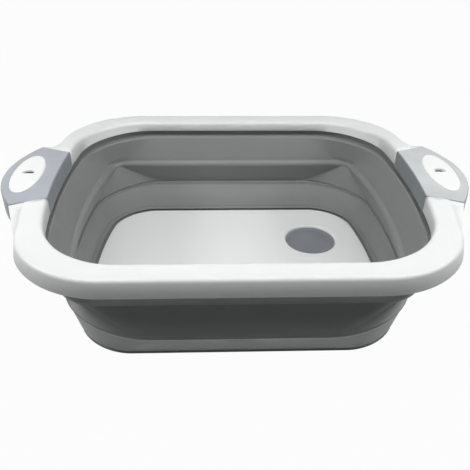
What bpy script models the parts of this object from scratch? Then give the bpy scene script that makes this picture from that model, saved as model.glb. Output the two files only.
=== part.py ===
import math

import bmesh
import bpy

# Driving dimensions in metres. Plan outlines are half length, half width, corner radius.
RIM_TOP_OUT = (0.1512, 0.1396, 0.0580)
RIM_LOW_OUT = (0.1523, 0.1425, 0.0605)
RIM_TOP_IN = (0.1331, 0.1202, 0.0495)
RIM_LOW_IN = (0.1331, 0.1207, 0.0540)
RIDGE = (0.1322, 0.1189, 0.0563)
UPPER_END_IN = (0.1223, 0.1123, 0.0193)
UPPER_END_OUT = (0.1275, 0.1180, 0.0245)
FOLD_IN = (0.1177, 0.1079, 0.0130)
FOLD_OUT = (0.1203, 0.1105, 0.0156)
BULGE_IN = (0.1256, 0.1193, 0.0629)
BULGE_OUT = (0.1284, 0.1218, 0.0656)
FOOT_IN = (0.1176, 0.1039, 0.0383)
FOOT_OUT = (0.1216, 0.1098, 0.0447)
BASE_OUT = (0.1188, 0.1049, 0.0361)
BOARD = (0.1118, 0.0973, 0.0325)
END_BOW = 0.0140

# Heights stack up from the surface that the basin stands on.
BASE_Z = 0.0
BOARD_TOP_Z = 0.0076
FOOT_RISE = 0.0010
LOWER_BAND = 0.0231
MIDDLE_BAND = 0.0235
UPPER_BAND = 0.0277
UPPER_END_RISE = 0.0070
RIDGE_DROP = 0.0056
INNER_WALL_TALL = 0.0095
SKIRT_TALL = 0.0121
FLANGE_REACH = 0.0010
GRIP_RISE = 0.0046
GRIP_TALL = 0.0160
GRIP_ROOF = 0.0041
WEB_ABOVE_FLANGE = 0.0010

FOOT_Z = BOARD_TOP_Z + FOOT_RISE
BULGE_Z = BOARD_TOP_Z + LOWER_BAND
FOLD_Z = BULGE_Z + MIDDLE_BAND
UPPER_END_Z = FOLD_Z + UPPER_END_RISE
RIDGE_Z = FOLD_Z + UPPER_BAND
INNER_WALL_Z = RIDGE_Z + RIDGE_DROP
FLANGE_TOP_Z = INNER_WALL_Z + FLANGE_REACH
RIM_TOP_Z = INNER_WALL_Z + INNER_WALL_TALL
SKIRT_Z = RIM_TOP_Z - SKIRT_TALL
GRIP_TOP_Z = RIM_TOP_Z + GRIP_RISE
GRIP_LOW_Z = GRIP_TOP_Z - GRIP_TALL
TAB_TOP_Z = GRIP_TOP_Z - GRIP_ROOF
WEB_LOW_Z = FLANGE_TOP_Z + WEB_ABOVE_FLANGE

# Walls, clearances and small features.
SKIN = 0.0022
GAP = 0.0003
CUT_REACH = 0.0100
FLANGE_IN = 0.0026
FLANGE_OUT = 0.0066
LEDGE_DROP = 0.0002
CREVICE_DROP = 0.0008
BOARD_LIP = 0.0030
BOARD_LIP_TALL = 0.0042
BOARD_THICK = 0.0038
FOOT_RING_WIDTH = 0.0060
DRAIN_BOSS_WALL = 0.0030
DRAIN_BOSS_CLEAR = 0.0003
HUMP_FROM_X = 0.0900
HUMP_FULL_Y = 0.0550
HUMP_NONE_Y = 0.1080
BOARD_STEP_Z = BASE_Z + BOARD_LIP_TALL

# Grips at the two ends, their rigid tabs, oval inserts and hanging slots.
GRIP_CORNER_IN = (0.1455, 0.0412)
GRIP_CUT_REACH = 0.0040
GRIP_ARC = ((0.1720, 0.0516), (0.1770, 0.0440), (0.1820, 0.0340), (0.1862, 0.0235), (0.1890, 0.0120))
GRIP_NOSE_X = 0.1900
GRIP_INNER_STEPS = 8
GRIP_WALL = 0.0034
TAB_BACK = 0.0025
TAB_INTO_WEB = 0.0025
WEB_INSIDE = 0.0026
WEB_THICK = 0.0040
OVAL_X = 0.1710
OVAL_HALF = (0.0120, 0.0325)
OVAL_DEPTH = 0.0018
OVAL_PROUD = 0.0004
SLOT_Y = 0.0021
SLOT_HALF = (0.0044, 0.0029)
SLOT_CLEAR = 0.0008
WEB_NEAR_Y = GRIP_ARC[0][1] - WEB_INSIDE
WEB_FAR_Y = WEB_NEAR_Y + WEB_THICK
TAB_HALF_Y = WEB_NEAR_Y + TAB_INTO_WEB

# Drain and plug.
DRAIN_X = 0.0752
DRAIN_Y = 0.0408
DRAIN_R = 0.0242
DRAIN_SEAT_IN = 0.0037
DRAIN_SEAT_DROP = 0.0044
DRAIN_CHAMFER = 0.0012
PLUG_SUNK = 0.0018
PLUG_TALL = 0.0050
PLUG_DISH = 0.0006
DRAIN_SEAT_R = DRAIN_R - DRAIN_SEAT_IN
DRAIN_SEAT_Z = BOARD_TOP_Z - DRAIN_SEAT_DROP
PLUG_HEAD_TOP_Z = BOARD_TOP_Z - PLUG_SUNK
PLUG_LOW_Z = PLUG_HEAD_TOP_Z - PLUG_TALL

END_STEPS = 8
CORNER_STEPS = 8
ROUND_STEPS = 56


def grow(outline, offset):
    a, b, r = outline
    return (a + offset, b + offset, r + offset)


def rounded(outline, z):
    """Ring of points round a rounded rectangle whose ends bow outward."""
    a, b, r = outline
    quarter = []
    for i in range(END_STEPS // 2):
        quarter.append((a, (b - r) * 2.0 * i / END_STEPS))
    for i in range(CORNER_STEPS + 1):
        t = 0.5 * math.pi * i / CORNER_STEPS
        quarter.append((a - r + r * math.cos(t), b - r + r * math.sin(t)))
    ring = list(quarter)
    ring += [(-x, y) for x, y in reversed(quarter)]
    ring += [(-x, -y) for x, y in quarter[1:]]
    ring += [(x, -y) for x, y in reversed(quarter[1:])]
    out = []
    for x, y in ring:
        bow = END_BOW * (1.0 - (y / b) ** 2)
        out.append((x + math.copysign(bow, x), y, z))
    return out


def hump(x, y):
    """Share of the rise towards the grips at one place on the rim."""
    if abs(x) < HUMP_FROM_X:
        return 0.0
    t = (HUMP_NONE_Y - abs(y)) / (HUMP_NONE_Y - HUMP_FULL_Y)
    t = min(1.0, max(0.0, t))
    return t * t * (3.0 - 2.0 * t)


def lift(ring, share):
    rise = GRIP_TOP_Z - RIM_TOP_Z
    return [(x, y, z + rise * share * hump(x, y)) for x, y, z in ring]


def principled(name, colour, roughness):
    mat = bpy.data.materials.new(name)
    mat.use_nodes = True
    shader = mat.node_tree.nodes["Principled BSDF"]
    shader.inputs["Base Color"].default_value = (*colour, 1.0)
    shader.inputs["Roughness"].default_value = roughness
    return mat


def add_object(name, bm, colour=None, roughness=0.5, smooth=True):
    bmesh.ops.recalc_face_normals(bm, faces=bm.faces)
    mesh = bpy.data.meshes.new(name)
    bm.to_mesh(mesh)
    bm.free()
    obj = bpy.data.objects.new(name, mesh)
    bpy.context.scene.collection.objects.link(obj)
    if colour is not None:
        mesh.materials.append(principled(name, colour, roughness))
    if smooth:
        for poly in mesh.polygons:
            poly.use_smooth = True
        mesh.set_sharp_from_angle(angle=math.radians(32.0))
    return obj


def loft_loop(rings):
    """Closed tube through rings that share one point count."""
    bm = bmesh.new()
    rows = [[bm.verts.new(p) for p in ring] for ring in rings]
    count = len(rows[0])
    for i, row in enumerate(rows):
        after = rows[(i + 1) % len(rows)]
        for j in range(count):
            k = (j + 1) % count
            bm.faces.new((row[j], row[k], after[k], after[j]))
    return bm


def loft_capped(rings):
    """Closed stack of rings with a flat cap at each end."""
    bm = bmesh.new()
    rows = [[bm.verts.new(p) for p in ring] for ring in rings]
    count = len(rows[0])
    for i in range(len(rows) - 1):
        for j in range(count):
            k = (j + 1) % count
            bm.faces.new((rows[i][j], rows[i][k], rows[i + 1][k], rows[i + 1][j]))
    bm.faces.new(rows[0])
    bm.faces.new(rows[-1])
    return bm


def cutter(name, bm):
    obj = add_object(name, bm)
    obj.hide_render = True
    obj.display_type = "WIRE"
    return obj


def combine(obj, other, operation):
    mod = obj.modifiers.new(operation.title(), "BOOLEAN")
    mod.operation = operation
    mod.solver = "EXACT"
    mod.object = other


def inset(points, offset):
    """Plan polygon moved inward by an offset along its corner normals."""
    count = len(points)
    area = 0.0
    for i in range(count):
        x0, y0 = points[i]
        x1, y1 = points[(i + 1) % count]
        area += x0 * y1 - x1 * y0
    turn = 1.0 if area > 0 else -1.0
    out = []
    for i in range(count):
        px, py = points[i - 1]
        x, y = points[i]
        nx, ny = points[(i + 1) % count]
        d0 = math.hypot(x - px, y - py)
        d1 = math.hypot(nx - x, ny - y)
        n0 = (-(y - py) / d0, (x - px) / d0)
        n1 = (-(ny - y) / d1, (nx - x) / d1)
        mx, my = n0[0] + n1[0], n0[1] + n1[1]
        scale = 2.0 / (mx * mx + my * my)
        out.append((x + turn * offset * mx * scale, y + turn * offset * my * scale))
    return out


def at_height(points, z):
    return [(x, y, z) for x, y in points]


def inner_line(y):
    a, b, r = RIM_TOP_IN
    return a + END_BOW * (1.0 - (y / b) ** 2)


def outer_line(y):
    a, b, r = RIM_TOP_OUT
    return a + END_BOW * (1.0 - (y / b) ** 2)


def grip_plan(reach=0.0):
    """Plan of one end grip. A reach carries its two sides further into the basin, for cutting the rim."""
    (cx, cy), (ox, oy) = GRIP_CORNER_IN, GRIP_ARC[0]
    cx, cy = cx - reach, cy - reach * (oy - cy) / (ox - cx)
    inner = []
    for i in range(GRIP_INNER_STEPS + 1):
        y = cy - 2.0 * cy * i / GRIP_INNER_STEPS
        inner.append((inner_line(y) + cx - inner_line(cy), y))
    outer = [(x, -y) for x, y in GRIP_ARC] + [(GRIP_NOSE_X, 0.0)] + [(x, y) for x, y in reversed(GRIP_ARC)]
    return inner + outer


def tab_plan():
    """Plan of the rigid tab under a grip, with its stem reaching into the rim channel."""
    inner = []
    for i in range(GRIP_INNER_STEPS + 1):
        y = TAB_HALF_Y - 2.0 * TAB_HALF_Y * i / GRIP_INNER_STEPS
        inner.append((inner_line(y) + TAB_BACK, y))
    (cx, cy), (ox, oy) = GRIP_CORNER_IN, GRIP_ARC[0]
    stem_x = outer_line(TAB_HALF_Y) - SKIN
    slope = (oy - cy) / (ox - cx)
    neck_y = cy + (stem_x - cx) * slope - GRIP_WALL * math.hypot(1.0, slope)
    head = inset(grip_plan(), GRIP_WALL)[GRIP_INNER_STEPS + 1:]
    near = [(stem_x, -TAB_HALF_Y), (stem_x, -neck_y)]
    far = [(stem_x, neck_y), (stem_x, TAB_HALF_Y)]
    return inner + near + head + far


def mirrored(points, side):
    return [(side * x, y) for x, y in points]


def prism(points, low, high, offset=0.0):
    plan = inset(points, offset) if offset else points
    return loft_capped([at_height(plan, low), at_height(plan, high)])


def ellipse(cx, cy, half, z, grow_by=0.0):
    ring = []
    for i in range(ROUND_STEPS):
        t = 2.0 * math.pi * i / ROUND_STEPS
        ring.append((cx + (half[0] + grow_by) * math.cos(t), cy + (half[1] + grow_by) * math.sin(t), z))
    return ring


def slot_ring(side, z, grow_by=0.0):
    """Hanging slot, flat on its near edge and arched on its far edge."""
    hx, hy = SLOT_HALF[0] + grow_by, SLOT_HALF[1] + grow_by
    ring = [(side * OVAL_X - hx, SLOT_Y - hy, z), (side * OVAL_X + hx, SLOT_Y - hy, z)]
    for i in range(9):
        t = math.pi * i / 8.0
        ring.append((side * OVAL_X + hx * math.cos(t), SLOT_Y - 0.2 * hy + 1.2 * hy * math.sin(t), z))
    return ring


def make_rim_frame():
    top = RIM_TOP_Z
    rings = [
        rounded(RIM_LOW_OUT, SKIRT_Z),
        lift(rounded(RIM_TOP_OUT, top - 0.0026), 1.0),
        lift(rounded(grow(RIM_TOP_OUT, -0.0008), top - 0.0007), 1.0),
        lift(rounded(grow(RIM_TOP_OUT, -0.0028), top), 1.0),
        lift(rounded(grow(RIM_TOP_IN, 0.0026), top), 1.0),
        lift(rounded(grow(RIM_TOP_IN, 0.0007), top - 0.0007), 1.0),
        lift(rounded(RIM_TOP_IN, top - 0.0025), 1.0),
        rounded(RIM_LOW_IN, INNER_WALL_Z),
        rounded(grow(RIM_LOW_IN, SKIN), INNER_WALL_Z),
        lift(rounded(grow(RIM_TOP_IN, SKIN), top - SKIN), 1.0),
        lift(rounded(grow(RIM_TOP_OUT, -SKIN), top - SKIN), 1.0),
        rounded(grow(RIM_LOW_OUT, -SKIN), SKIRT_Z),
    ]
    rim = add_object("rim_frame", loft_loop(rings), (0.86, 0.87, 0.87), 0.32)
    for side, tag in ((1.0, "right"), (-1.0, "left")):
        seat = mirrored(grip_plan(GRIP_CUT_REACH), side)
        hollow = prism(seat, SKIRT_Z - CUT_REACH, GRIP_TOP_Z + CUT_REACH, -GAP)
        combine(rim, cutter("cut_grip_" + tag, hollow), "DIFFERENCE")
        tab = cutter("add_tab_" + tag, prism(mirrored(tab_plan(), side), GRIP_LOW_Z, TAB_TOP_Z))
        flange = grow(RIM_LOW_IN, FLANGE_OUT + GAP)
        room = loft_capped([rounded(flange, SKIRT_Z - CUT_REACH), rounded(flange, FLANGE_TOP_Z + GAP)])
        combine(tab, cutter("cut_flange_room_" + tag, room), "DIFFERENCE")
        combine(rim, tab, "UNION")
        for end in (1.0, -1.0):
            near, far = end * WEB_NEAR_Y, end * WEB_FAR_Y
            x0 = inner_line(WEB_FAR_Y) + 0.4 * SKIN
            x1 = outer_line(WEB_FAR_Y) - 0.6 * SKIN
            corners = [(x0, near), (x1, near), (x1, far), (x0, far)]
            web = prism(mirrored(corners, side), WEB_LOW_Z, GRIP_TOP_Z - 0.7 * SKIN)
            suffix = "_far" if end > 0 else "_near"
            combine(rim, cutter("add_web_" + tag + suffix, web), "UNION")
        low, high = GRIP_LOW_Z - CUT_REACH, GRIP_TOP_Z + CUT_REACH
        slot = loft_capped([slot_ring(side, low, SLOT_CLEAR), slot_ring(side, high, SLOT_CLEAR)])
        combine(rim, cutter("cut_tab_slot_" + tag, slot), "DIFFERENCE")
    return rim


def make_grip(side, tag):
    plan = mirrored(grip_plan(), side)
    rings = [
        at_height(plan, GRIP_LOW_Z),
        at_height(plan, GRIP_TOP_Z - 0.0016),
        at_height(inset(plan, 0.0004), GRIP_TOP_Z - 0.0005),
        at_height(inset(plan, 0.0013), GRIP_TOP_Z),
    ]
    grip = add_object("handle_grip_" + tag, loft_capped(rings), (0.33, 0.35, 0.39), 0.55)
    tab = mirrored(tab_plan(), side)
    room = prism(tab, GRIP_LOW_Z - CUT_REACH, TAB_TOP_Z + GAP, -GAP)
    combine(grip, cutter("cut_room_" + tag, room), "DIFFERENCE")
    recess = loft_capped([
        ellipse(side * OVAL_X, 0.0, OVAL_HALF, GRIP_TOP_Z - OVAL_DEPTH, GAP),
        ellipse(side * OVAL_X, 0.0, OVAL_HALF, GRIP_TOP_Z + CUT_REACH, GAP),
    ])
    combine(grip, cutter("cut_recess_" + tag, recess), "DIFFERENCE")
    low, high = TAB_TOP_Z, GRIP_TOP_Z + CUT_REACH
    window = loft_capped([slot_ring(side, low, SLOT_CLEAR), slot_ring(side, high, SLOT_CLEAR)])
    combine(grip, cutter("cut_window_" + tag, window), "DIFFERENCE")
    return grip


def make_insert(side, tag):
    low = GRIP_TOP_Z - OVAL_DEPTH + GAP
    high = GRIP_TOP_Z + OVAL_PROUD
    rings = [
        ellipse(side * OVAL_X, 0.0, OVAL_HALF, low),
        ellipse(side * OVAL_X, 0.0, OVAL_HALF, high - 0.0006),
        ellipse(side * OVAL_X, 0.0, OVAL_HALF, high, -0.0007),
    ]
    insert = add_object("handle_insert_" + tag, loft_capped(rings), (0.90, 0.91, 0.91), 0.35)
    slot = loft_capped([slot_ring(side, low - CUT_REACH), slot_ring(side, high + CUT_REACH)])
    combine(insert, cutter("cut_slot_" + tag, slot), "DIFFERENCE")
    return insert


def make_upper_panel():
    rings = [
        rounded(grow(RIM_LOW_IN, FLANGE_IN), FLANGE_TOP_Z),
        rounded(grow(RIM_LOW_IN, FLANGE_IN), RIDGE_Z + 0.0034),
        rounded(grow(RIDGE, 0.0013), RIDGE_Z + 0.0020),
        rounded(grow(RIDGE, 0.0002), RIDGE_Z + 0.0012),
        rounded(RIDGE, RIDGE_Z),
        rounded(UPPER_END_IN, UPPER_END_Z),
        rounded(UPPER_END_OUT, UPPER_END_Z),
        rounded(grow(RIDGE, 0.0038), RIDGE_Z - 0.0030),
        rounded(grow(RIM_LOW_IN, FLANGE_OUT), RIDGE_Z),
        rounded(grow(RIM_LOW_IN, FLANGE_OUT), FLANGE_TOP_Z),
    ]
    return add_object("bellows_upper_panel", loft_loop(rings), (0.21, 0.22, 0.22), 0.6)


def make_fold_panel():
    top, low = UPPER_END_Z - GAP, FOOT_Z + GAP
    rings = [
        rounded(UPPER_END_IN, top),
        rounded(grow(FOLD_IN, 0.0040), FOLD_Z + 0.0053),
        rounded(grow(FOLD_IN, 0.0004), FOLD_Z + 0.0016),
        rounded(FOLD_IN, FOLD_Z),
        rounded(grow(FOLD_IN, 0.0006), FOLD_Z - 0.0016),
        rounded(grow(BULGE_IN, -0.0007), BULGE_Z + 0.0016),
        rounded(BULGE_IN, BULGE_Z),
        rounded(grow(BULGE_IN, -0.0009), BULGE_Z - 0.0016),
        rounded(FOOT_IN, low),
        rounded(FOOT_OUT, low),
        rounded(grow(BULGE_OUT, -0.0007), BULGE_Z - 0.0020),
        rounded(BULGE_OUT, BULGE_Z),
        rounded(grow(BULGE_OUT, -0.0007), BULGE_Z + 0.0018),
        rounded(grow(FOLD_OUT, 0.0006), FOLD_Z - 0.0018),
        rounded(FOLD_OUT, FOLD_Z),
        rounded(grow(UPPER_END_OUT, -0.0055), UPPER_END_Z - 0.0042),
        rounded(grow(UPPER_END_OUT, -0.0003), UPPER_END_Z - 0.0027),
        rounded(UPPER_END_OUT, top),
    ]
    return add_object("bellows_fold_panel", loft_loop(rings), (0.19, 0.20, 0.20), 0.6)


def make_lower_panel():
    rings = [
        rounded(FOOT_IN, FOOT_Z),
        rounded(grow(FOOT_IN, -CREVICE_DROP), BOARD_TOP_Z - CREVICE_DROP),
        rounded(grow(BOARD, GAP), BOARD_TOP_Z - LEDGE_DROP),
        rounded(grow(BOARD, GAP), BOARD_STEP_Z + GAP),
        rounded(grow(BOARD, BOARD_LIP + GAP), BOARD_STEP_Z + GAP),
        rounded(grow(BOARD, BOARD_LIP + GAP), BASE_Z),
        rounded(grow(BASE_OUT, -0.0006), BASE_Z),
        rounded(grow(BASE_OUT, 0.0002), 0.0010),
        rounded(FOOT_OUT, FOOT_Z),
    ]
    return add_object("bellows_lower_panel", loft_loop(rings), (0.19, 0.20, 0.20), 0.6)


def make_floor_board():
    rings = [
        rounded(grow(BOARD, BOARD_LIP), BASE_Z),
        rounded(grow(BOARD, BOARD_LIP), BOARD_STEP_Z),
        rounded(BOARD, BOARD_STEP_Z),
        rounded(BOARD, BOARD_TOP_Z - 0.0005),
        rounded(grow(BOARD, -0.0006), BOARD_TOP_Z),
    ]
    board = add_object("floor_board", loft_capped(rings), (0.80, 0.81, 0.81), 0.4)
    inside = grow(BOARD, BOARD_LIP - FOOT_RING_WIDTH)
    recess = loft_capped([rounded(inside, BASE_Z - CUT_REACH), rounded(inside, BOARD_TOP_Z - BOARD_THICK)])
    combine(board, cutter("cut_board_recess", recess), "DIFFERENCE")
    wide, seat = (DRAIN_R, DRAIN_R), (DRAIN_SEAT_R, DRAIN_SEAT_R)
    boss = loft_capped([
        ellipse(DRAIN_X, DRAIN_Y, wide, BASE_Z + DRAIN_BOSS_CLEAR, DRAIN_BOSS_WALL),
        ellipse(DRAIN_X, DRAIN_Y, wide, BOARD_TOP_Z - 0.5 * BOARD_THICK, DRAIN_BOSS_WALL),
    ])
    combine(board, cutter("add_drain_boss", boss), "UNION")
    upper = loft_capped([
        ellipse(DRAIN_X, DRAIN_Y, wide, DRAIN_SEAT_Z),
        ellipse(DRAIN_X, DRAIN_Y, wide, BOARD_TOP_Z - DRAIN_CHAMFER),
        ellipse(DRAIN_X, DRAIN_Y, wide, BOARD_TOP_Z + DRAIN_CHAMFER, 2.0 * DRAIN_CHAMFER),
    ])
    combine(board, cutter("cut_drain", upper), "DIFFERENCE")
    lower = loft_capped([
        ellipse(DRAIN_X, DRAIN_Y, seat, BASE_Z - CUT_REACH),
        ellipse(DRAIN_X, DRAIN_Y, seat, PLUG_HEAD_TOP_Z),
    ])
    combine(board, cutter("cut_drain_seat", lower), "DIFFERENCE")
    return board


def make_drain_plug():
    wide, seat = (DRAIN_R, DRAIN_R), (DRAIN_SEAT_R, DRAIN_SEAT_R)
    rings = [
        ellipse(DRAIN_X, DRAIN_Y, seat, PLUG_LOW_Z, -0.0008),
        ellipse(DRAIN_X, DRAIN_Y, seat, PLUG_LOW_Z + 0.0006, -GAP),
        ellipse(DRAIN_X, DRAIN_Y, seat, DRAIN_SEAT_Z + GAP, -GAP),
        ellipse(DRAIN_X, DRAIN_Y, wide, DRAIN_SEAT_Z + GAP, -GAP),
        ellipse(DRAIN_X, DRAIN_Y, wide, PLUG_HEAD_TOP_Z - 0.0006, -GAP),
        ellipse(DRAIN_X, DRAIN_Y, wide, PLUG_HEAD_TOP_Z, -0.0010),
        ellipse(DRAIN_X, DRAIN_Y, wide, PLUG_HEAD_TOP_Z, -0.0030),
        ellipse(DRAIN_X, DRAIN_Y, wide, PLUG_HEAD_TOP_Z - PLUG_DISH, -0.0042),
    ]
    return add_object("drain_plug", loft_capped(rings), (0.20, 0.22, 0.25), 0.55)


for old in list(bpy.data.objects):
    bpy.data.objects.remove(old)

make_rim_frame()
for end_side, end_tag in ((1.0, "right"), (-1.0, "left")):
    make_grip(end_side, end_tag)
    make_insert(end_side, end_tag)
make_upper_panel()
make_fold_panel()
make_lower_panel()
make_floor_board()
make_drain_plug()
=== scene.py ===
"""Portable washbasin in the frame of its CAD part: the visible pieces, their looks and the studio.

Lengths are in metres. +X runs along the basin towards the end nearer the drain, +Y to the far side, +Z up.
"""
import math

import bmesh
import bpy
from mathutils import Matrix, Vector


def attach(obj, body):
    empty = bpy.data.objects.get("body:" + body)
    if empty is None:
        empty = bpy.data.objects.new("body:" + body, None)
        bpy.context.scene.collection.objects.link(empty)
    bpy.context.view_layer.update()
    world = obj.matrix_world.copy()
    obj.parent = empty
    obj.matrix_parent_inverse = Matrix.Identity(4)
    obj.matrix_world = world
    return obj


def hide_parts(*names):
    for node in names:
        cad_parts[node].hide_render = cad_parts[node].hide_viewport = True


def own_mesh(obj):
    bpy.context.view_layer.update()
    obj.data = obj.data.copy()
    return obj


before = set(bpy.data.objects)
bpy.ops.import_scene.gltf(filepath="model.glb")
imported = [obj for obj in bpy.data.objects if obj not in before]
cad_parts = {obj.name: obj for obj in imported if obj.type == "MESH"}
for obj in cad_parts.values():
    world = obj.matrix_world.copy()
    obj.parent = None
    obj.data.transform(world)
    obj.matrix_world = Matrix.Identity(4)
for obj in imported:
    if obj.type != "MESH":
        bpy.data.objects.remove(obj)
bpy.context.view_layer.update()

# Plan outlines of the CAD model: half length, half width, corner radius.
RIM_TOP_OUT = (0.1512, 0.1396, 0.0580)
RIM_LOW_OUT = (0.1523, 0.1425, 0.0605)
RIM_TOP_IN = (0.1331, 0.1202, 0.0495)
RIM_LOW_IN = (0.1331, 0.1207, 0.0540)
RIDGE = (0.1322, 0.1189, 0.0563)
UPPER_END_IN = (0.1223, 0.1123, 0.0193)
UPPER_END_OUT = (0.1275, 0.1180, 0.0245)
FOLD_OUT = (0.1203, 0.1105, 0.0156)
BULGE_OUT = (0.1284, 0.1218, 0.0656)
FOOT_IN = (0.1176, 0.1039, 0.0383)
FOOT_OUT = (0.1216, 0.1098, 0.0447)
BASE_OUT = (0.1188, 0.1049, 0.0361)
BOARD = (0.1118, 0.0973, 0.0325)
# Outlines of the folds seen from inside, which are softer here than in the CAD model.
CREST = (0.1177, 0.1079, 0.0070)
CREST_TOP = (0.1217, 0.1119, 0.0110)
VALLEY = (0.1268, 0.1193, 0.0560)
# The middle of each end bows out beyond its outline by this much.
END_BOW = 0.0140

# Heights above the surface that the basin stands on.
DRAIN_SEAT_Z = 0.0032
PLUG_HEAD_LOW_Z = 0.0035
BOARD_LIP_Z = 0.0042
FOOT_RECESS_Z = 0.0045
DRAIN_SEAT_CUT_Z = 0.0050
PLUG_TOP_Z = 0.0058
BOARD_TOP_Z = 0.0076
FOOT_Z = 0.0086
BULGE_Z = 0.0307
FOLD_Z = 0.0542
UPPER_END_Z = 0.0612
RIDGE_Z = 0.0819
SKIRT_Z = 0.0849
GRIP_LOW_Z = 0.0856
INNER_WALL_Z = 0.0875
SHOULDER_END_Z = 0.0880
FLANGE_TOP_Z = 0.0885
WEB_LOW_Z = 0.0895
RIM_TOP_Z = 0.0970
TAB_TOP_Z = 0.0975
GRIP_TOP_Z = 0.1016

# Room between neighbouring pieces, and how far a cutter runs past what it cuts.
GAP = 0.0003
CLEAR = 0.0100

# The rim. An edge is a list of (growth of the outline, drop below the top).
SKIN = 0.0022
RIM_EDGE_OUT = ((0.0, 0.0034), (-0.0002, 0.0022), (-0.0008, 0.0011), (-0.0017, 0.0004), (-0.0030, 0.0))
RIM_EDGE_IN = ((0.0030, 0.0), (0.0015, 0.0004), (0.0006, 0.0011), (0.0001, 0.0022), (0.0, 0.0034))
RIM_CROWN = 0.0003
RIM_EASE = 0.0004
SKIRT_EASE_SHARE = 0.05
SKIRT_EASE_GROWTH = 0.0003
# The rim rises towards each grip: |y| where the rise is full and where it ends, by its outer and inner edge.
HUMP_Y_OUT = (0.050, 0.078)
HUMP_Y_IN = (0.055, 0.108)
HUMP_FROM_X = 0.09
# The white shoulder beside a grip: x of its root, and its end and tip in plan.
SHOULDER_IN_X = 0.1612
SHOULDER_END = (0.1646, 0.0730)
SHOULDER_TIP = (0.1600, 0.0820)

# The grips. An edge is a list of (inset of the plan, distance from the bottom or the top).
GRIP_CORNER_IN = (0.1455, 0.0412)
GRIP_CUT_REACH = 0.0040
GRIP_ARC = ((0.1720, 0.0516), (0.1770, 0.0440), (0.1820, 0.0340), (0.1862, 0.0235), (0.1890, 0.0120))
GRIP_NOSE_X = 0.1900
GRIP_WALL = 0.0034
GRIP_EDGE_LOW = ((0.0022, 0.0), (0.0004, 0.0), (0.0001, 0.0004), (0.0, 0.0010))
GRIP_EDGE_TOP = ((0.0, 0.0016), (0.0001, 0.0010), (0.0004, 0.0005), (0.0008, 0.0001), (0.0013, 0.0))
TAB_BACK = 0.0025
TAB_HALF_Y = 0.0515
WEB_NEAR_Y = 0.0490
WEB_FAR_Y = 0.0530

# The oval insert in a grip and the slot through both. An edge is a list of (growth, drop below the top).
OVAL_X = 0.1710
OVAL_HALF = (0.0120, 0.0325)
OVAL_DEPTH = 0.0018
RECESS_CHAMFER_DROP = 0.0002
RECESS_CHAMFER_GROWTH = 0.0004
INSERT_PROUD = 0.0004
INSERT_EDGE = ((0.7 * GAP, 0.0005), (-0.0001, 0.0002), (-0.0008, 0.0))
SLOT_Y = 0.0021
SLOT_HALF = (0.0044, 0.0029)
SLOT_ARCH = 0.2
SLOT_ROOM = 0.0008
SLOT_CHAMFER_DROP = 0.0006
SLOT_CHAMFER_GROWTH = 0.0009
CHAMFER_OVERRUN = 0.0010

# How far the wall's flange stands out from the inner foot of the rim, inside and outside.
FLANGE_IN = 0.0026
FLANGE_OUT = 0.0066
FLANGE_FACE = 0.0010

# The floor plate and its drain. An edge is a list of (growth, drop below the top).
BOARD_LIP = 0.0030
BOARD_LIP_ROOM = 0.0033
BOARD_THICK = 0.0038
BOARD_EDGE = ((0.0, 0.0007), (-0.0002, 0.0002), (-0.0007, 0.0))
FOOT_RING_WIDTH = 0.0060
DRAIN_X = 0.0752
DRAIN_Y = 0.0408
DRAIN_R = 0.0242
DRAIN_SEAT_R = 0.0205
DRAIN_BOSS_WALL = 0.0030
DRAIN_MOUTH = ((0.0, 0.0013), (0.0003, 0.0007), (0.0017, -0.0004))
# The plug: its stem as (growth, z), and its head's dished top as an edge.
PLUG_STEM = ((-0.0008, 0.0008), (-GAP, 0.0014), (-GAP, PLUG_HEAD_LOW_Z))
PLUG_EDGE = (
    (-GAP, 0.0006), (-0.0005, 0.0002), (-0.0010, 0.0), (-0.0030, 0.0),
    (-0.0034, 0.0002), (-0.0042, 0.0006), (-0.0120, 0.0007),
)

# How finely curves are divided: the plan outlines, a grip's back and nose, fillets, ovals and slots.
END_STEPS = 24
CORNER_STEPS = 26
SIDE_STEPS = 16
BACK_STEPS = 16
NOSE_STEPS = 4
FILLET_STEPS = 6
OVAL_STEPS = 96
SLOT_STEPS = 20
# A fillet uses at most this share of each side next to its corner.
FILLET_SHARE = 0.48
# A face whose normal has at least this much Z is level.
LEVEL_Z = 0.9995

# Base colours.
RIM_WHITE = (0.86, 0.875, 0.87)
BOARD_WHITE = (0.93, 0.94, 0.935)
INSERT_WHITE = (0.93, 0.94, 0.935)
GRIP_GREY = (0.425, 0.448, 0.492)
# Painted shade for the grips' sides, which face away from the light.
GRIP_PAINTED_SHADE_GREY = (0.245, 0.27, 0.285)
# Lighter copy of the grip grey for the right grip, with a stronger mottle: painted glare.
GRIP_PAINTED_GLARE = (0.59, 0.615, 0.62)
# Painted shade for the sides of the right grip's lighter copy.
GRIP_GLARE_COPY_PAINTED_SHADE = (0.235, 0.26, 0.27)
WALL_GREY = (0.262, 0.272, 0.270)
PLUG_GREY = (0.232, 0.245, 0.268)
# Heights of the bump on all pieces: the fine grain, and the broad unevenness of rubber.
GRAIN_DEPTH = 0.0002
BROAD_DEPTH = 0.0006

# The photograph's camera, fitted to its edges: pixels, degrees and a place in fit units of so many metres.
PHOTO_PX = 470.0
FOCAL_PX = 569.3
SENSOR_MM = 36.0
CAMERA_YAW = 2.52
CAMERA_PITCH = 33.15
CAMERA_ROLL = 0.93
CAMERA_PLACE = (-23.1, -503.5, 376.2)
FIT_UNIT = 0.00084
CAMERA_CLIP = 0.01

# The studio: a pale floor that shows as white but bounces little light, and a faint fill all round.
FLOOR_SIZE = 6.0
FLOOR_DROP = 0.0004
FLOOR_GREY = 0.30
FLOOR_GLOW_SHARE = 0.97
FILL_STRENGTH = 0.015
SIDES = (1.0, -1.0)


def grow(outline, offset):
    """An outline moved outward all round."""
    a, b, r = outline
    return (a + offset, b + offset, r + offset)


def mix(one, two, t):
    return tuple(p + (q - p) * t for p, q in zip(one, two))


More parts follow.
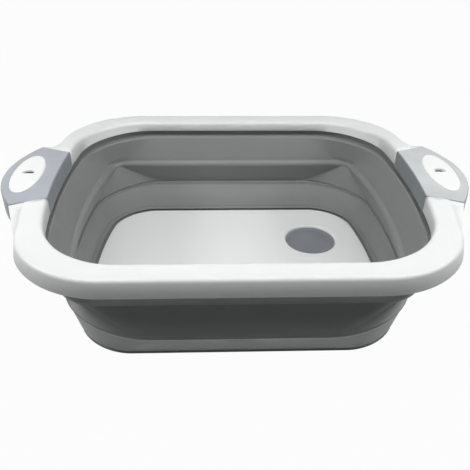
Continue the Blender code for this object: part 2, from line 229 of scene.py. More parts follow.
def rounded(outline, z):
    """Ring of points round a rounded rectangle whose ends bow outward."""
    a, b, r = outline
    quarter = []
    for i in range(END_STEPS // 2):
        quarter.append((a, (b - r) * 2.0 * i / END_STEPS))
    for i in range(CORNER_STEPS + 1):
        t = 0.5 * math.pi * i / CORNER_STEPS
        quarter.append((a - r + r * math.cos(t), b - r + r * math.sin(t)))
    for i in range(1, SIDE_STEPS // 2):
        quarter.append(((a - r) * (1.0 - 2.0 * i / SIDE_STEPS), b))
    ring = list(quarter) + [(0.0, b)]
    ring += [(-x, y) for x, y in reversed(quarter)]
    ring += [(-x, -y) for x, y in quarter[1:]] + [(0.0, -b)]
    ring += [(x, -y) for x, y in reversed(quarter[1:])]
    out = []
    for x, y in ring:
        bow = END_BOW * (1.0 - (y / b) ** 2)
        share = min(1.0, abs(x) / max(a - r, 1e-6))
        out.append((x + math.copysign(bow * share, x) if x else 0.0, y, z))
    return out


def hump(x, y, inward):
    """Share of the rise towards a grip. It falls off sooner along the rim's outer edge (inward 0)."""
    if abs(x) < HUMP_FROM_X:
        return 0.0
    full, none = mix(HUMP_Y_OUT, HUMP_Y_IN, inward)
    t = min(1.0, max(0.0, (none - abs(y)) / (none - full)))
    return t * t * (3.0 - 2.0 * t)


def lift(ring, inward):
    """A ring of the rim raised towards the grips, up to their tops."""
    rise = GRIP_TOP_Z - RIM_TOP_Z
    return [(x, y, z + rise * hump(x, y, inward)) for x, y, z in ring]


def finish_mesh(name, bm, sharp=40.0):
    """Object from a mesh under construction, smooth but for edges over the sharp angle in degrees."""
    bmesh.ops.recalc_face_normals(bm, faces=bm.faces)
    mesh = bpy.data.meshes.new(name)
    bm.to_mesh(mesh)
    bm.free()
    for poly in mesh.polygons:
        poly.use_smooth = True
    mesh.set_sharp_from_angle(angle=math.radians(sharp))
    obj = bpy.data.objects.new(name, mesh)
    bpy.context.scene.collection.objects.link(obj)
    return obj


def loft(name, rings, sharp=40.0, looped=False):
    """Solid through a stack of rings: looped back to the first ring, or else filled at both ends."""
    bm = bmesh.new()
    rows = [[bm.verts.new(p) for p in ring] for ring in rings]
    count = len(rows[0])
    for i in range(len(rows) if looped else len(rows) - 1):
        after = rows[(i + 1) % len(rows)]
        for j in range(count):
            k = (j + 1) % count
            bm.faces.new((rows[i][j], rows[i][k], after[k], after[j]))
    if not looped:
        bm.faces.new(list(reversed(rows[0])))
        bm.faces.new(rows[-1])
    return finish_mesh(name, bm, sharp)


def fillet(points):
    """Round the corners of a profile of (outline, z, radius) with quadratic arcs."""
    out = [points[0][:2]]
    for i in range(1, len(points) - 1):
        (po, pz, _), (o, z, r), (no, nz, _) = points[i - 1], points[i], points[i + 1]
        if r <= 0:
            out.append((o, z))
            continue
        lp = math.hypot(po[1] - o[1], pz - z)
        ln = math.hypot(no[1] - o[1], nz - z)
        tp, tn = min(FILLET_SHARE, r / max(lp, 1e-9)), min(FILLET_SHARE, r / max(ln, 1e-9))
        start = (mix(o, po, tp), z + (pz - z) * tp)
        end = (mix(o, no, tn), z + (nz - z) * tn)
        for s in range(FILLET_STEPS + 1):
            t = s / FILLET_STEPS
            a = (mix(start[0], o, t), start[1] + (z - start[1]) * t)
            b = (mix(o, end[0], t), z + (end[1] - z) * t)
            out.append((mix(a[0], b[0], t), a[1] + (b[1] - a[1]) * t))
    out.append(points[-1][:2])
    return out


def cut(obj, other, operation="DIFFERENCE"):
    """Cut one object with another, or join it on, and use the other up."""
    mod = obj.modifiers.new("cut", "BOOLEAN")
    mod.operation = operation
    mod.solver = "EXACT"
    mod.object = other
    dg = bpy.context.evaluated_depsgraph_get()
    mesh = bpy.data.meshes.new_from_object(obj.evaluated_get(dg))
    obj.modifiers.clear()
    obj.data = mesh
    bpy.data.objects.remove(other)


def inset(points, offset):
    """A plan polygon with every side moved inward, or outward where the offset is negative."""
    count = len(points)
    area = sum(points[i][0] * points[(i + 1) % count][1] - points[(i + 1) % count][0] * points[i][1]
               for i in range(count))
    turn = 1.0 if area > 0 else -1.0
    out = []
    for i in range(count):
        px, py = points[i - 1]
        x, y = points[i]
        nx, ny = points[(i + 1) % count]
        d0 = math.hypot(x - px, y - py)
        d1 = math.hypot(nx - x, ny - y)
        n0 = (-(y - py) / d0, (x - px) / d0)
        n1 = (-(ny - y) / d1, (nx - x) / d1)
        mx, my = n0[0] + n1[0], n0[1] + n1[1]
        scale = 2.0 / (mx * mx + my * my)
        out.append((x + turn * offset * mx * scale, y + turn * offset * my * scale))
    return out


def end_line(outline, y):
    """X of an outline's bowed end at a y."""
    return outline[0] + END_BOW * (1.0 - (y / outline[1]) ** 2)


def spline(p0, p1, p2, p3, t):
    """Point between p1 and p2 on a smooth cubic through four plan points."""
    return tuple(
        0.5 * (2 * p1[k] + (p2[k] - p0[k]) * t + (2 * p0[k] - 5 * p1[k] + 4 * p2[k] - p3[k]) * t * t
               + (3 * p1[k] - p0[k] - 3 * p2[k] + p3[k]) * t ** 3) for k in (0, 1))


def grip_plan(reach=0.0):
    """Plan of one end grip. A reach carries its two sides further into the basin, for cutting the rim."""
    (cx, cy), (ox, oy) = GRIP_CORNER_IN, GRIP_ARC[0]
    cx, cy = cx - reach, cy - reach * (oy - cy) / (ox - cx)
    back = []
    for i in range(BACK_STEPS + 1):
        y = cy - 2.0 * cy * i / BACK_STEPS
        back.append((end_line(RIM_TOP_IN, y) + cx - end_line(RIM_TOP_IN, cy), y))
    half = [(GRIP_NOSE_X, 0.0)] + [(x, y) for x, y in reversed(GRIP_ARC)]
    far = []
    for i in range(len(half) - 1):
        p0 = half[i - 1] if i else (half[1][0], -half[1][1])
        p1, p2 = half[i], half[i + 1]
        p3 = half[i + 2] if i + 2 < len(half) else (2 * p2[0] - p1[0], 2 * p2[1] - p1[1])
        far += [spline(p0, p1, p2, p3, s / NOSE_STEPS) for s in range(NOSE_STEPS)]
    far.append(half[-1])
    near = [(x, -y) for x, y in reversed(far[1:])]
    return back + near + far


def tab_plan():
    """Plan of the rigid tab under a grip, with its stem reaching into the rim channel."""
    back = []
    for i in range(BACK_STEPS + 1):
        y = TAB_HALF_Y - 2.0 * TAB_HALF_Y * i / BACK_STEPS
        back.append((end_line(RIM_TOP_IN, y) + TAB_BACK, y))
    (cx, cy), (ox, oy) = GRIP_CORNER_IN, GRIP_ARC[0]
    stem_x = end_line(RIM_TOP_OUT, TAB_HALF_Y) - SKIN
    slope = (oy - cy) / (ox - cx)
    neck_y = cy + (stem_x - cx) * slope - GRIP_WALL * math.hypot(1.0, slope)
    head = inset(grip_plan(), GRIP_WALL)[BACK_STEPS + 1:]
    near = [(stem_x, -TAB_HALF_Y), (stem_x, -neck_y)]
    far = [(stem_x, neck_y), (stem_x, TAB_HALF_Y)]
    return back + near + head + far


def at_height(points, z):
    return [(x, y, z) for x, y in points]


def mirrored(points, side):
    """A plan for the right end (side 1) or the left end (side -1)."""
    return [(side * x, y) for x, y in points]


def ellipse(cx, cy, half, z, more):
    """Ring round an ellipse whose half axes are grown by more."""
    ring = []
    for i in range(OVAL_STEPS):
        t = 2.0 * math.pi * i / OVAL_STEPS
        ring.append((cx + (half[0] + more) * math.cos(t), cy + (half[1] + more) * math.sin(t), z))
    return ring


def grip_oval(side, z, more):
    return ellipse(side * OVAL_X, 0.0, OVAL_HALF, z, more)


def slot_ring(side, z, more=0.0):
    """Ring round a hanging slot: straight on the near side and arched on the far side."""
    hx, hy = SLOT_HALF[0] + more, SLOT_HALF[1] + more
    ring = [(side * OVAL_X - hx, SLOT_Y - hy, z), (side * OVAL_X + hx, SLOT_Y - hy, z)]
    for i in range(SLOT_STEPS + 1):
        t = math.pi * i / SLOT_STEPS
        y = SLOT_Y - SLOT_ARCH * hy + (1.0 + SLOT_ARCH) * hy * math.sin(t)
        ring.append((side * OVAL_X + hx * math.cos(t), y, z))
    return ring


def drain_stack(name, levels, sharp=40.0):
    """Upright round solid on the drain's axis, from (radius, growth, z) levels."""
    return loft(name, [ellipse(DRAIN_X, DRAIN_Y, (r, r), z, more) for r, more, z in levels], sharp)


def block(plan, low, high):
    """Upright prism over a plan polygon, used to cut or to add."""
    return loft("block", [at_height(plan, low), at_height(plan, high)])


class Tree:
    """Small helper round one procedural material."""

    def __init__(self, name):
        self.mat = bpy.data.materials.new(name)
        self.mat.use_nodes = True
        self.nodes = self.mat.node_tree.nodes
        self.links = self.mat.node_tree.links
        self.shader = self.nodes["Principled BSDF"]
        self.coord = self.nodes.new("ShaderNodeTexCoord").outputs["Object"]

    def noise(self, scale, detail, rough, stretch=None):
        """Cloud of values round 0.5, in the piece's own frame."""
        node = self.nodes.new("ShaderNodeTexNoise")
        node.inputs["Scale"].default_value = scale
        node.inputs["Detail"].default_value = detail
        node.inputs["Roughness"].default_value = rough
        source = self.coord
        if stretch:
            mapping = self.nodes.new("ShaderNodeMapping")
            mapping.inputs["Scale"].default_value = stretch
            self.links.new(source, mapping.inputs["Vector"])
            source = mapping.outputs["Vector"]
        self.links.new(source, node.inputs["Vector"])
        return node.outputs["Fac"]

    def ramp(self, fac, stops):
        """Colour from a value, by (position, colour) stops."""
        node = self.nodes.new("ShaderNodeValToRGB")
        els = node.color_ramp.elements
        els[0].position, els[0].color = stops[0][0], (*stops[0][1], 1)
        els[1].position, els[1].color = stops[-1][0], (*stops[-1][1], 1)
        for pos, col in stops[1:-1]:
            el = els.new(pos)
            el.color = (*col, 1)
        self.links.new(fac, node.inputs["Fac"])
        return node.outputs["Color"]

    def remap(self, fac, low, high, from_low=0.3, from_high=0.7):
        """A value carried from one range to another, and held at its ends."""
        node = self.nodes.new("ShaderNodeMapRange")
        node.inputs["From Min"].default_value = from_low
        node.inputs["From Max"].default_value = from_high
        node.inputs["To Min"].default_value = low
        node.inputs["To Max"].default_value = high
        self.links.new(fac, node.inputs["Value"])
        return node.outputs["Result"]

    def bump(self, fac, strength, distance, normal=None):
        node = self.nodes.new("ShaderNodeBump")
        node.inputs["Strength"].default_value = strength
        node.inputs["Distance"].default_value = distance
        self.links.new(fac, node.inputs["Height"])
        if normal is not None:
            self.links.new(normal, node.inputs["Normal"])
        return node.outputs["Normal"]

    def set(self, socket, value):
        """Give the shader's socket a value, or link another node's output to it."""
        if isinstance(value, bpy.types.NodeSocket):
            self.links.new(value, self.shader.inputs[socket])
        else:
            self.shader.inputs[socket].default_value = value


def darker_and_lighter(colour, spread):
    return tuple(max(0.0, c - spread) for c in colour), tuple(min(1.0, c + spread) for c in colour)


def plastic(name, colour, spread, rough, bump, grain, subsurface=0.0):
    """Moulded plastic: faint flow mottle, fine grain, roughness that varies a little."""
    t = Tree(name)
    low, high = darker_and_lighter(colour, spread)
    flow = t.noise(scale=9.0, detail=3.0, rough=0.5, stretch=(1.0, 1.0, 2.5))
    t.set("Base Color", t.ramp(flow, [(0.3, low), (0.7, high)]))
    t.set("Roughness", t.remap(t.noise(scale=40.0, detail=4.0, rough=0.6), rough - 0.05, rough + 0.06))
    t.set("Normal", t.bump(t.noise(scale=grain, detail=2.0, rough=0.5), bump, GRAIN_DEPTH))
    if subsurface:
        t.set("Subsurface Weight", subsurface)
        t.set("Subsurface Radius", (0.004, 0.004, 0.004))
        t.set("Subsurface Scale", 0.5)
    return t


def rubber(name, colour, spread, rough, bump, grain, sheen=0.0):
    """Moulded elastomer: matt, faint cloudy bloom, fine texture, soft sheen."""
    t = Tree(name)
    low, high = darker_and_lighter(colour, spread)
    cloud = t.noise(scale=16.0, detail=5.0, rough=0.6, stretch=(1.0, 1.0, 1.6))
    t.set("Base Color", t.ramp(cloud, [(0.28, low), (0.55, colour), (0.75, high)]))
    t.set("Roughness", t.remap(t.noise(scale=55.0, detail=4.0, rough=0.65), rough - 0.06, rough + 0.07))
    broad = t.bump(t.noise(scale=70.0, detail=3.0, rough=0.5), 0.06, BROAD_DEPTH)
    t.set("Normal", t.bump(t.noise(scale=grain, detail=3.0, rough=0.6), bump, GRAIN_DEPTH, broad))
    if sheen:
        t.set("Sheen Weight", sheen)
        t.set("Sheen Roughness", 0.4)
    return t


def paint_shade_on_sides(tree, colour):
    """Painted shade: faces that do not point up take a darker colour than the top, standing in for the shade
    on a grip's sides.
    """
    geometry = tree.nodes.new("ShaderNodeNewGeometry")
    split = tree.nodes.new("ShaderNodeSeparateXYZ")
    tree.links.new(geometry.outputs["True Normal"], split.inputs[0])
    # The top colour's share rises with the face's upward normal, so sides get painted shade.
    share = tree.remap(split.outputs["Z"], 0.0, 1.0, from_low=0.55, from_high=0.90)
    blend = tree.nodes.new("ShaderNodeMix")
    blend.data_type = "RGBA"
    top = tree.shader.inputs["Base Color"].links[0].from_socket
    tree.links.new(share, blend.inputs["Factor"])
    blend.inputs["A"].default_value = (*colour, 1.0)
    tree.links.new(top, blend.inputs["B"])
    tree.links.new(blend.outputs["Result"], tree.shader.inputs["Base Color"])


def paint(obj, tree):
    obj.data.materials.clear()
    obj.data.materials.append(tree.mat)


def level_faces(obj):
    """Flat faces that look straight up or down are shaded flat, so no chamfer bleeds into them."""
    for poly in obj.data.polygons:
        if abs(poly.normal.z) > LEVEL_Z:
            poly.use_smooth = False
    return obj


def rim_tab(side):
    """The tab under a grip, with room cut for the wall's flange."""
    tab = block(mirrored(tab_plan(), side), GRIP_LOW_Z, TAB_TOP_Z)
    flange = grow(RIM_LOW_IN, FLANGE_OUT + GAP)
    cut(tab, loft("flange_room", [rounded(flange, SKIRT_Z - CLEAR), rounded(flange, FLANGE_TOP_Z + GAP)]))
    return tab


def rim_web(side, end):
    """Thin wall across the rim's channel at one end of a tab."""
    x0 = end_line(RIM_TOP_IN, WEB_FAR_Y) + 0.4 * SKIN
    x1 = end_line(RIM_TOP_OUT, WEB_FAR_Y) - 0.6 * SKIN
    near, far = end * WEB_NEAR_Y, end * WEB_FAR_Y
    corners = [(x0, near), (x1, near), (x1, far), (x0, far)]
    return block(mirrored(corners, side), WEB_LOW_Z, GRIP_TOP_Z - 0.7 * SKIN)


def shoulder(side, end):
    """White wedge that falls from a grip's corner to the rim's outer edge."""
    (cx, cy), (ox, oy) = GRIP_CORNER_IN, GRIP_ARC[0]
    root_y = cy + (SHOULDER_IN_X - cx) * (oy - cy) / (ox - cx) + 2.0 * GAP
    crown = [
        (SHOULDER_IN_X, root_y, GRIP_TOP_Z - GAP),
        (ox - GAP, oy + 2.0 * GAP, GRIP_TOP_Z - 2.0 * GAP),
        (*SHOULDER_END, SHOULDER_END_Z),
        (*SHOULDER_TIP, SHOULDER_END_Z),
        (SHOULDER_IN_X, SHOULDER_TIP[1], SHOULDER_END_Z),
    ]
    bm = bmesh.new()
    for x, y, z in crown:
        bm.verts.new((side * x, end * y, z))
        bm.verts.new((side * x, end * y, SKIRT_Z + GAP))
    bmesh.ops.convex_hull(bm, input=bm.verts)
    return finish_mesh("shoulder", bm)


def slot_block(side):
    """Cutter for a slot's passage through the grip and the rim's tab, a little wider than the slot."""
    return loft("slot_block", [slot_ring(side, GRIP_LOW_Z - CLEAR, SLOT_ROOM),
                               slot_ring(side, GRIP_TOP_Z + CLEAR, SLOT_ROOM)])


def make_rim():
    """The rim's moulded skin, open below, with the tabs, webs and shoulders that belong to the grips."""
    top = RIM_TOP_Z
    # Each level is an outline, its z, and how far inward its rise towards the grips is, or None for level.
    section = [
        (RIM_LOW_OUT, SKIRT_Z, None),
        (grow(mix(RIM_LOW_OUT, RIM_TOP_OUT, SKIRT_EASE_SHARE), SKIRT_EASE_GROWTH), SKIRT_Z + RIM_EASE, None),
    ]
    section += [(grow(RIM_TOP_OUT, more), top - drop, 0) for more, drop in RIM_EDGE_OUT]
    section += [(mix(RIM_TOP_OUT, RIM_TOP_IN, 0.5), top + RIM_CROWN, 0.5)]
    section += [(grow(RIM_TOP_IN, more), top - drop, 1) for more, drop in RIM_EDGE_IN]
    section += [
        (RIM_LOW_IN, INNER_WALL_Z + RIM_EASE, None),
        (grow(RIM_LOW_IN, RIM_EASE), INNER_WALL_Z, None),
        (grow(RIM_LOW_IN, SKIN), INNER_WALL_Z, None),
        (grow(RIM_TOP_IN, SKIN), top - SKIN, 1),
        (grow(RIM_TOP_OUT, -SKIN), top - SKIN, 0),
        (grow(RIM_LOW_OUT, -SKIN), SKIRT_Z, None),
    ]
    rings = [rounded(o, z) if inward is None else lift(rounded(o, z), inward) for o, z, inward in section]
    rim = loft("rim_shell", rings, sharp=50.0, looped=True)
    for side in SIDES:
        grip_room = inset(mirrored(grip_plan(GRIP_CUT_REACH), side), -GAP)
        cut(rim, block(grip_room, SKIRT_Z - CLEAR, GRIP_TOP_Z + CLEAR))
        cut(rim, rim_tab(side), "UNION")
        for end in SIDES:
            cut(rim, rim_web(side, end), "UNION")
            cut(rim, shoulder(side, end), "UNION")
        cut(rim, slot_block(side))
    return rim


def make_grip(side, tag):
    """Soft pad over one end of the rim, hollowed for the tab and for the oval insert."""
    plan = mirrored(grip_plan(), side)
    rings = [at_height(inset(plan, less), GRIP_LOW_Z + rise) for less, rise in GRIP_EDGE_LOW]
    rings += [at_height(inset(plan, less), GRIP_TOP_Z - drop) for less, drop in GRIP_EDGE_TOP]
    grip = loft("grip_pad_" + tag, rings, sharp=35.0)
    cut(grip, block(inset(mirrored(tab_plan(), side), -GAP), GRIP_LOW_Z - CLEAR, TAB_TOP_Z + GAP))
    cut(grip, loft("recess", [
        grip_oval(side, GRIP_TOP_Z - OVAL_DEPTH, GAP),
        grip_oval(side, GRIP_TOP_Z - RECESS_CHAMFER_DROP, GAP),
        grip_oval(side, GRIP_TOP_Z + CHAMFER_OVERRUN, GAP + RECESS_CHAMFER_GROWTH),
    ]))
    cut(grip, slot_block(side))
    return level_faces(grip)


def make_insert(side, tag):
    """Oval plate in a grip, standing a little proud, with the hanging slot through it."""
    low, high = GRIP_TOP_Z - OVAL_DEPTH + GAP, GRIP_TOP_Z + INSERT_PROUD
    rings = [grip_oval(side, low, INSERT_EDGE[0][0])]
    rings += [grip_oval(side, high - drop, more) for more, drop in INSERT_EDGE]
    insert = loft("grip_insert_" + tag, rings, sharp=35.0)
    cut(insert, loft("slot", [
        slot_ring(side, low - CLEAR),
        slot_ring(side, high - SLOT_CHAMFER_DROP),
        slot_ring(side, high + CHAMFER_OVERRUN, SLOT_CHAMFER_GROWTH),
    ]))
    return level_faces(insert)


def make_wall():
    """The folding rubber wall as one continuous skin, from the rim channel to the foot."""
    lower_top, lower_mid = mix(VALLEY, FOOT_IN, 0.16), mix(VALLEY, FOOT_IN, 0.62)
    # Both profiles are (outline, z, fillet radius). The inside runs down, the outside back up.
    inside = [
        # The flange in the rim's channel, and the groove and ridge under the rim.
        (grow(RIM_LOW_IN, FLANGE_IN + FLANGE_FACE), FLANGE_TOP_Z, 0.0),
        (grow(RIM_LOW_IN, FLANGE_IN + FLANGE_FACE), RIDGE_Z - 0.0006, 0.0004),
        (grow(RIDGE, 0.0018), RIDGE_Z - 0.0004, 0.0004),
        (grow(RIDGE, 0.0004), RIDGE_Z - 0.0001, 0.0006),
        (grow(RIDGE, -0.0005), RIDGE_Z - 0.0014, 0.0008),
        # The upper band, down to the inner fold's rounded crest.
        (UPPER_END_IN, UPPER_END_Z - 0.0004, 0.0030),
        (CREST_TOP, FOLD_Z + 0.0042, 0.0016),
        (grow(CREST, 0.0008), FOLD_Z + 0.0036, 0.0012),
        (grow(CREST, -0.0003), FOLD_Z + 0.0014, 0.0014),
        (grow(CREST, 0.0006), FOLD_Z - 0.0012, 0.0014),
        # The middle band, and the ledge at the outer fold.
        (VALLEY, BULGE_Z + 0.0008, 0.0004),
        (grow(VALLEY, -0.0024), BULGE_Z + 0.0005, 0.0006),
        # The lower band, down to the foot.
        (lower_top, BULGE_Z - 0.0022, 0.0010),
        (lower_mid, BULGE_Z - 0.0120, 0.0050),
        (grow(FOOT_IN, 0.0010), FOOT_Z + 0.0012, 0.0004),
        (grow(FOOT_IN, 0.0004), FOOT_Z, 0.0),
    ]
    outside = [
        # The lower band, and the lip at the outer fold.
        (FOOT_OUT, FOOT_Z, 0.0),
        (mix(FOOT_OUT, BULGE_OUT, 0.86), BULGE_Z - 0.0032, 0.0022),
        (grow(BULGE_OUT, 0.0009), BULGE_Z - 0.0002, 0.0014),
        (grow(BULGE_OUT, -0.0016), BULGE_Z + 0.0016, 0.0008),
        # The middle band, in to the inner fold and out again to the upper band's end.
        (FOLD_OUT, FOLD_Z, 0.0016),
        (grow(UPPER_END_OUT, -0.0055), UPPER_END_Z - 0.0042, 0.0010),
        (grow(UPPER_END_OUT, -0.0003), UPPER_END_Z - 0.0027, 0.0006),
        (UPPER_END_OUT, UPPER_END_Z, 0.0006),
        # The upper band and the flange.
        (grow(RIDGE, 0.0038), RIDGE_Z - 0.0030, 0.0020),
        (grow(RIM_LOW_IN, FLANGE_OUT), RIDGE_Z, 0.0010),
        (grow(RIM_LOW_IN, FLANGE_OUT), FLANGE_TOP_Z, 0.0),
    ]
    rings = [rounded(o, z) for o, z in fillet(inside) + fillet(outside)]
    return loft("bellows_wall", rings, sharp=60.0, looped=True)


def make_foot():
    """The wall's foot: a bead and a crevice round the floor plate inside, a small bead outside."""
    inside = [
        (FOOT_OUT, FOOT_Z, 0.0),
        (grow(FOOT_IN, 0.0006), FOOT_Z - 0.0002, 0.0004),
        (grow(FOOT_IN, -0.0034), FOOT_Z - 0.0005, 0.0006),
        (grow(FOOT_IN, -0.0030), FOOT_Z - 0.0016, 0.0004),
        (grow(FOOT_IN, -0.0008), FOOT_Z - 0.0028, 0.0003),
        (grow(BOARD, 0.0008), FOOT_Z - 0.0034, 0.0003),
        (grow(BOARD, GAP), FOOT_Z - 0.0033, 0.0),
    ]
    under = [
        (grow(BOARD, GAP), FOOT_RECESS_Z),
        (grow(BOARD, BOARD_LIP_ROOM), FOOT_RECESS_Z),
        (grow(BOARD, BOARD_LIP_ROOM), 0.0),
        (grow(BASE_OUT, -0.0010), 0.0),
    ]
    outside = [
        (grow(BASE_OUT, -0.0004), 0.0, 0.0),
        (grow(BASE_OUT, 0.0006), 0.0008, 0.0006),
        (grow(BASE_OUT, 0.0008), 0.0020, 0.0006),
        (grow(BASE_OUT, 0.0002), 0.0030, 0.0004),
        (FOOT_OUT, FOOT_Z - 0.0004, 0.0004),
        (FOOT_OUT, FOOT_Z, 0.0),
    ]
    rings = [rounded(o, z) for o, z in fillet(inside)[1:] + under + fillet(outside)]
    return loft("bellows_foot", rings, sharp=50.0, looped=True)


def make_board():
    """The floor plate: a lip under the wall's foot, a recess below, and the stepped hole with its boss."""
    rings = [
        rounded(grow(BOARD, BOARD_LIP), 0.0),
        rounded(grow(BOARD, BOARD_LIP), BOARD_LIP_Z),
        rounded(BOARD, BOARD_LIP_Z),
    ]
    rings += [rounded(grow(BOARD, more), BOARD_TOP_Z - drop) for more, drop in BOARD_EDGE]
    board = loft("floor_plate", rings, sharp=35.0)
    hollow = grow(BOARD, BOARD_LIP - FOOT_RING_WIDTH)
    cut(board, loft("recess", [rounded(hollow, -CLEAR), rounded(hollow, BOARD_TOP_Z - BOARD_THICK)]))
    boss = [(DRAIN_R, DRAIN_BOSS_WALL, z) for z in (GAP, BOARD_TOP_Z - 0.5 * BOARD_THICK)]
    mouth = [(DRAIN_R, 0.0, DRAIN_SEAT_Z)]
    mouth += [(DRAIN_R, more, BOARD_TOP_Z - drop) for more, drop in DRAIN_MOUTH]
    outlet = [(DRAIN_SEAT_R, 0.0, z) for z in (-CLEAR, DRAIN_SEAT_CUT_Z)]
    cut(board, drain_stack("drain_boss", boss), "UNION")
    cut(board, drain_stack("drain_mouth", mouth))
    cut(board, drain_stack("drain_outlet", outlet))
    return level_faces(board)


def make_plug():
    """The stopper: a stem in the outlet and a flat head with a rounded edge and a low dish."""
    levels = [(DRAIN_SEAT_R, more, z) for more, z in PLUG_STEM]
    levels += [(DRAIN_R, -GAP, PLUG_HEAD_LOW_Z)]
    levels += [(DRAIN_R, more, PLUG_TOP_Z - drop) for more, drop in PLUG_EDGE]
    return level_faces(drain_stack("plug_head", levels, sharp=35.0))


def seen_directly(nodes, links):
    """Value that is 1 for camera, glossy and transmission rays and 0 for those that carry light about."""
    path = nodes.new("ShaderNodeLightPath")
    share = path.outputs["Is Camera Ray"]
    for kind in ("Is Glossy Ray", "Is Transmission Ray"):
        either = nodes.new("ShaderNodeMath")
        either.operation = "MAXIMUM"
        links.new(share, either.inputs[0])
        links.new(path.outputs[kind], either.inputs[1])
        share = either.outputs[0]
    return share


def make_floor():
    bm = bmesh.new()
    bmesh.ops.create_grid(bm, x_segments=2, y_segments=2, size=FLOOR_SIZE)
    floor = finish_mesh("pale_floor", bm)
    floor.location.z = -FLOOR_DROP
    t = Tree("pale_floor")
    t.set("Base Color", (FLOOR_GREY, FLOOR_GREY, FLOOR_GREY, 1.0))
    t.set("Roughness", 0.9)
    glow = t.nodes.new("ShaderNodeEmission")
    glow.inputs["Color"].default_value = (1.0, 1.0, 1.0, 1.0)
    glow.inputs["Strength"].default_value = 1.0
    share = t.nodes.new("ShaderNodeMath")
    share.operation = "MULTIPLY"
    share.inputs[1].default_value = FLOOR_GLOW_SHARE
    blend = t.nodes.new("ShaderNodeMixShader")
    t.links.new(seen_directly(t.nodes, t.links), share.inputs[0])
    t.links.new(share.outputs[0], blend.inputs["Fac"])
    t.links.new(t.shader.outputs["BSDF"], blend.inputs[1])
    t.links.new(glow.outputs["Emission"], blend.inputs[2])
    t.links.new(blend.outputs["Shader"], t.nodes["Material Output"].inputs["Surface"])
    floor.data.materials.append(t.mat)


def make_camera():
    yaw, pitch, roll = math.radians(CAMERA_YAW), math.radians(CAMERA_PITCH), math.radians(CAMERA_ROLL)
    cy, sy, cp, sp = math.cos(yaw), math.sin(yaw), math.cos(pitch), math.sin(pitch)
    forward = Vector((sy * cp, cy * cp, -sp))
    level_right = Vector((cy, -sy, 0.0))
    level_up = level_right.cross(forward)
    right = level_right * math.cos(roll) + level_up * math.sin(roll)
    up = -level_right * math.sin(roll) + level_up * math.cos(roll)
    data = bpy.data.cameras.new("photo_camera")
    data.sensor_width = SENSOR_MM
    data.lens = FOCAL_PX / PHOTO_PX * SENSOR_MM
    data.clip_start = CAMERA_CLIP
    cam = bpy.data.objects.new("photo_camera", data)
    bpy.context.scene.collection.objects.link(cam)
    stand = Matrix((right, up, -forward)).transposed().to_4x4()
    stand.translation = Vector(CAMERA_PLACE) * FIT_UNIT
    cam.matrix_world = stand
    bpy.context.scene.camera = cam


def area_light(name, place, target, size, watts):
    """Rectangular lamp at a place, facing a target."""
    data = bpy.data.lights.new(name, "AREA")
    data.shape = "RECTANGLE"
    data.size, data.size_y = size
    data.energy = watts
    obj = bpy.data.objects.new(name, data)
    obj.location = place
    obj.rotation_euler = (Vector(target) - Vector(place)).to_track_quat("-Z", "Y").to_euler()
    bpy.context.scene.collection.objects.link(obj)


def make_world():
    """White to look at, and a faint fill for lighting."""
    world = bpy.data.worlds.new("studio")
    bpy.context.scene.world = world
    world.use_nodes = True
    nodes, links = world.node_tree.nodes, world.node_tree.links
    nodes.clear()
    out = nodes.new("ShaderNodeOutputWorld")
    blend = nodes.new("ShaderNodeMixShader")
    for socket, strength in ((1, FILL_STRENGTH), (2, 1.0)):
        background = nodes.new("ShaderNodeBackground")
        background.inputs["Color"].default_value = (1.0, 1.0, 1.0, 1.0)
        background.inputs["Strength"].default_value = strength
        links.new(background.outputs["Background"], blend.inputs[socket])
    links.new(seen_directly(nodes, links), blend.inputs["Fac"])
    links.new(blend.outputs["Shader"], out.inputs["Surface"])


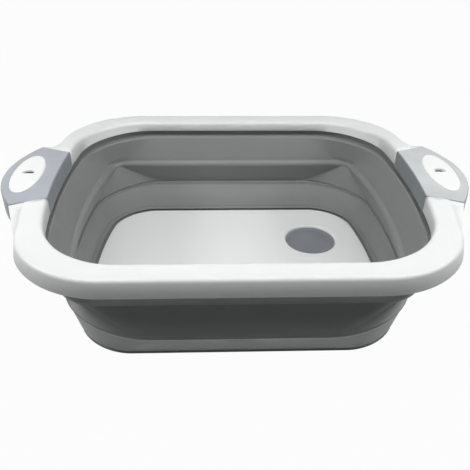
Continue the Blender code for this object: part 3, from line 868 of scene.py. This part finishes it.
white = plastic("white_rim", RIM_WHITE, spread=0.012, rough=0.36, bump=0.04, grain=1100.0, subsurface=0.05)
floor_white = plastic("white_floor", BOARD_WHITE, spread=0.010, rough=0.42, bump=0.05, grain=1100.0,
                      subsurface=0.05)
insert_white = plastic("white_insert", INSERT_WHITE, spread=0.008, rough=0.34, bump=0.04, grain=1100.0)
grip_grey = rubber("grip_soft_touch", GRIP_GREY, spread=0.035, rough=0.48, bump=0.12, grain=1700.0,
                   sheen=0.15)
# The left grip's sides darkened with painted shade.
paint_shade_on_sides(grip_grey, GRIP_PAINTED_SHADE_GREY)
# The right grip's lighter copy of the grip material stands in for glare: painted reflection.
grip_painted_glare = rubber("grip_soft_touch_painted_glare", GRIP_PAINTED_GLARE, spread=0.08, rough=0.46, bump=0.12, grain=1700.0,
                   sheen=0.15)
paint_shade_on_sides(grip_painted_glare, GRIP_GLARE_COPY_PAINTED_SHADE)
wall_grey = rubber("wall_elastomer", WALL_GREY, spread=0.012, rough=0.42, bump=0.08, grain=1200.0,
                   sheen=0.10)
wall_grey.set("Specular IOR Level", 0.28)
plug_grey = rubber("plug_rubber", PLUG_GREY, spread=0.035, rough=0.50, bump=0.10, grain=1300.0)

rim = make_rim()
paint(rim, white)
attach(rim, "rim")
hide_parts("rim_frame")

for side, tag in ((1.0, "right"), (-1.0, "left")):
    grip = make_grip(side, tag)
    # The right grip takes the lighter copy with painted glare.
    paint(grip, grip_painted_glare if side > 0 else grip_grey)
    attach(grip, "rim")
    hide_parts("handle_grip_" + tag)
    insert = make_insert(side, tag)
    paint(insert, insert_white)
    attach(insert, "rim")
    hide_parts("handle_insert_" + tag)

wall = make_wall()
paint(wall, wall_grey)
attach(wall, "rim")
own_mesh(wall)
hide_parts("bellows_upper_panel", "bellows_fold_panel")

foot = make_foot()
paint(foot, wall_grey)
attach(foot, "base")
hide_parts("bellows_lower_panel")

board = make_board()
paint(board, floor_white)
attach(board, "base")
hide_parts("floor_board")

plug = make_plug()
paint(plug, plug_grey)
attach(plug, "plug")
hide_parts("drain_plug")

make_floor()
make_camera()
make_world()
area_light("overhead", place=(0.0, -0.11, 0.53), target=(0.0, -0.11, 0.0), size=(0.95, 0.07), watts=2.05)
area_light("front_top", place=(0.0, -0.62, 1.02), target=(0.0, -0.05, 0.05), size=(0.30, 0.20), watts=1.0)
for side in SIDES:
    area_light("side_top", place=(0.60 * side, -0.06, 0.46), target=(-0.12 * side, 0.0, 0.06),
               size=(0.30, 0.16), watts=1.40)
bpy.context.scene.view_settings.view_transform = "Standard"
